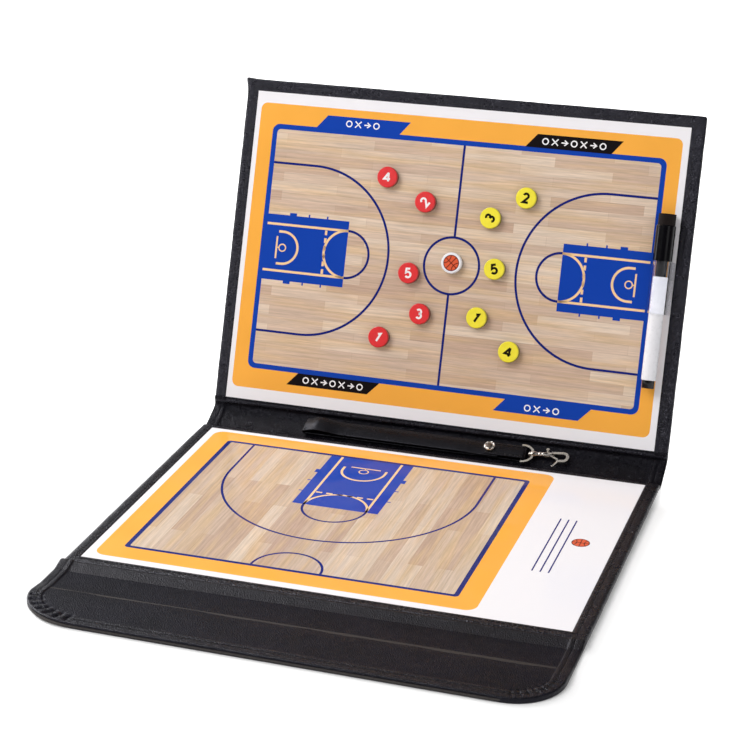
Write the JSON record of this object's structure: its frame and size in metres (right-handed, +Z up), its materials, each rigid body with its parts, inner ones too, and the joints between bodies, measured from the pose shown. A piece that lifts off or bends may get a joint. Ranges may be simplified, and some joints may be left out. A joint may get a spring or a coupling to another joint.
{
  "type": "tactics board",
  "caption": "Folding leather-covered tactics board with printed court panels, player magnets, a dry-erase marker in a clear sleeve, a closing flap and a wrist strap with a swivel hook.",
  "frame": {"origin": "on the base board's underside, below the middle of its printed sheet", "axes": "+X along the spine towards the marker's side, +Y from the flap towards the cover, +Z up"},
  "size_m": [0.316, 0.3964, 0.2218],
  "materials": {
    "leather": "fine-grained black, satin",
    "lining": "fine-grained black, satin",
    "stiff_board": "grey board, hidden",
    "steel_sheet": "thin rolled sheet, hidden",
    "printed_sheet": "glossy print of a court",
    "magnet_core": "dark ferrite, matt",
    "red_plastic": "semi-gloss",
    "yellow_plastic": "semi-gloss",
    "white_plastic": "semi-gloss",
    "black_plastic": "glossy",
    "clear_plastic": "clear, glossy",
    "felt": "black felt",
    "bright_metal": "bright nickel plate"
  },
  "bodies": {
    "base": {"base_skin": "leather", "base_board": "stiff_board", "base_hem": "leather", "base_steel": "steel_sheet", "base_print": "printed_sheet"},
    "spine": {"spine_skin": "leather", "spine_hems": "leather"},
    "cover": {"cover_skin": "leather", "cover_board": "stiff_board", "cover_hem": "leather", "cover_steel": "steel_sheet", "cover_print": "printed_sheet", "marker_sleeve": "clear_plastic"},
    "flap_strip": {"strip_skin": "leather", "strip_lining": "lining"},
    "flap": {"flap_skin": "leather", "flap_stiffener": "stiff_board", "flap_lining": "lining", "flap_hem": "leather", "flap_magnets": "magnet_core"},
    "marker": {"marker_barrel": "white_plastic", "marker_plug": "black_plastic", "marker_front": "black_plastic", "marker_nib": "felt", "ink_reservoir": "felt"},
    "cap": {"marker_cap": "black_plastic", "cap_eraser": "felt"},
    "strap": {"strap_loop": "leather", "strap_tab": "leather", "strap_rivet": "bright_metal"},
    "ring": {"swivel_ring": "bright_metal"},
    "hook": {"hook_body": "bright_metal", "hook_pin": "bright_metal"},
    "gate": {"gate_lever": "bright_metal"},
    "magnet_red_1": {"magnet_red_1_foot": "magnet_core", "magnet_red_1_cap": "red_plastic"},
    "magnet_red_2": {"magnet_red_2_foot": "magnet_core", "magnet_red_2_cap": "red_plastic"},
    "magnet_red_3": {"magnet_red_3_foot": "magnet_core", "magnet_red_3_cap": "red_plastic"},
    "magnet_red_4": {"magnet_red_4_foot": "magnet_core", "magnet_red_4_cap": "red_plastic"},
    "magnet_red_5": {"magnet_red_5_foot": "magnet_core", "magnet_red_5_cap": "red_plastic"},
    "magnet_yellow_1": {"magnet_yellow_1_foot": "magnet_core", "magnet_yellow_1_cap": "yellow_plastic"},
    "magnet_yellow_2": {"magnet_yellow_2_foot": "magnet_core", "magnet_yellow_2_cap": "yellow_plastic"},
    "magnet_yellow_3": {"magnet_yellow_3_foot": "magnet_core", "magnet_yellow_3_cap": "yellow_plastic"},
    "magnet_yellow_4": {"magnet_yellow_4_foot": "magnet_core", "magnet_yellow_4_cap": "yellow_plastic"},
    "magnet_yellow_5": {"magnet_yellow_5_foot": "magnet_core", "magnet_yellow_5_cap": "yellow_plastic"},
    "magnet_ball": {"magnet_ball_foot": "magnet_core", "magnet_ball_cap": "white_plastic"}
  },
  "joints": [
    {"name": "low_fold", "type": "hinge", "parent": "base", "child": "spine", "pos_m": [0, 0.11, 0.0004], "axis": [1, 0, 0], "range_deg": [-25.1, 64.9]},
    {"name": "high_fold", "type": "hinge", "parent": "spine", "child": "cover", "pos_m": [0, 0.1321, 0.01075], "axis": [1, 0, 0], "range_deg": [-45.3, 44.7]},
    {"name": "flap_near_fold", "type": "hinge", "parent": "base", "child": "flap_strip", "pos_m": [0, -0.115, 0.0004], "axis": [-1, 0, 0], "range_deg": [0, 90]},
    {"name": "flap_far_fold", "type": "hinge", "parent": "flap_strip", "child": "flap", "pos_m": [0, -0.143, 0.0004], "axis": [-1, 0, 0], "range_deg": [0, 90]},
    {"name": "marker_slide", "type": "slide", "parent": "cover", "child": "marker", "axis": [0, -0.3355, -0.9421], "range_m": [-0.085, 0]},
    {"name": "cap_slide", "type": "slide", "parent": "marker", "child": "cap", "axis": [0, -0.3355, -0.9421], "range_m": [-0.026, 0]},
    {"name": "strap_lift", "type": "slide", "parent": "spine", "child": "strap", "axis": [0, 0.4242, -0.9056], "range_m": [-0.06, 0]},
    {"name": "ring_pivot", "type": "hinge", "parent": "strap", "child": "ring", "pos_m": [0.0637, 0.12025, 0.00728], "axis": [-0.1219, 0.8988, 0.421], "range_deg": [-80, 0]},
    {"name": "hook_swivel", "type": "hinge", "parent": "ring", "child": "hook", "pos_m": [0.07209, 0.12118, 0.00772], "axis": [0.9925, 0.1104, 0.0517], "range_deg": [-15, 0]},
    {"name": "gate_pivot", "type": "hinge", "parent": "hook", "child": "gate", "pos_m": [0.08106, 0.1219, 0.00806], "axis": [0, -0.4242, 0.9056], "range_deg": [0, 22], "stiffness_Nm_per_rad": 0.02, "springref_deg": -5.73},
    {"name": "magnet_red_1_slide", "type": "slide", "parent": "cover", "child": "magnet_red_1", "axis": [0, 0.3355, 0.9421], "range_m": [-0.0445, 0.0935]},
    {"name": "magnet_red_2_slide", "type": "slide", "parent": "cover", "child": "magnet_red_2", "axis": [0, 0.3355, 0.9421], "range_m": [-0.035, 0.056]},
    {"name": "magnet_red_3_slide", "type": "slide", "parent": "cover", "child": "magnet_red_3", "axis": [0, 0.3355, 0.9421], "range_m": [-0.063, 0.0165]},
    {"name": "magnet_red_4_slide", "type": "slide", "parent": "cover", "child": "magnet_red_4", "axis": [0, 0.3355, 0.9421], "range_m": [-0.0935, 0.042]},
    {"name": "magnet_red_5_slide", "type": "slide", "parent": "cover", "child": "magnet_red_5", "axis": [0, 0.3355, 0.9421], "range_m": [-0.0165, 0.035]},
    {"name": "magnet_yellow_1_slide", "type": "slide", "parent": "cover", "child": "magnet_yellow_1", "axis": [0, 0.3355, 0.9421], "range_m": [-0.0645, 0.021]},
    {"name": "magnet_yellow_2_slide", "type": "slide", "parent": "cover", "child": "magnet_yellow_2", "axis": [0, 0.3355, 0.9421], "range_m": [-0.087, 0.047]},
    {"name": "magnet_yellow_3_slide", "type": "slide", "parent": "cover", "child": "magnet_yellow_3", "axis": [0, 0.3355, 0.9421], "range_m": [-0.02, 0.0625]},
    {"name": "magnet_yellow_4_slide", "type": "slide", "parent": "cover", "child": "magnet_yellow_4", "axis": [0, 0.3355, 0.9421], "range_m": [-0.0445, 0.087]},
    {"name": "magnet_yellow_5_slide", "type": "slide", "parent": "cover", "child": "magnet_yellow_5", "axis": [0, 0.3355, 0.9421], "range_m": [-0.021, 0.02]},
    {"name": "magnet_ball_slide", "type": "slide", "parent": "cover", "child": "magnet_ball", "axis": [0, 0.3355, 0.9421], "range_m": [-0.099, 0.0945]}
  ]
}
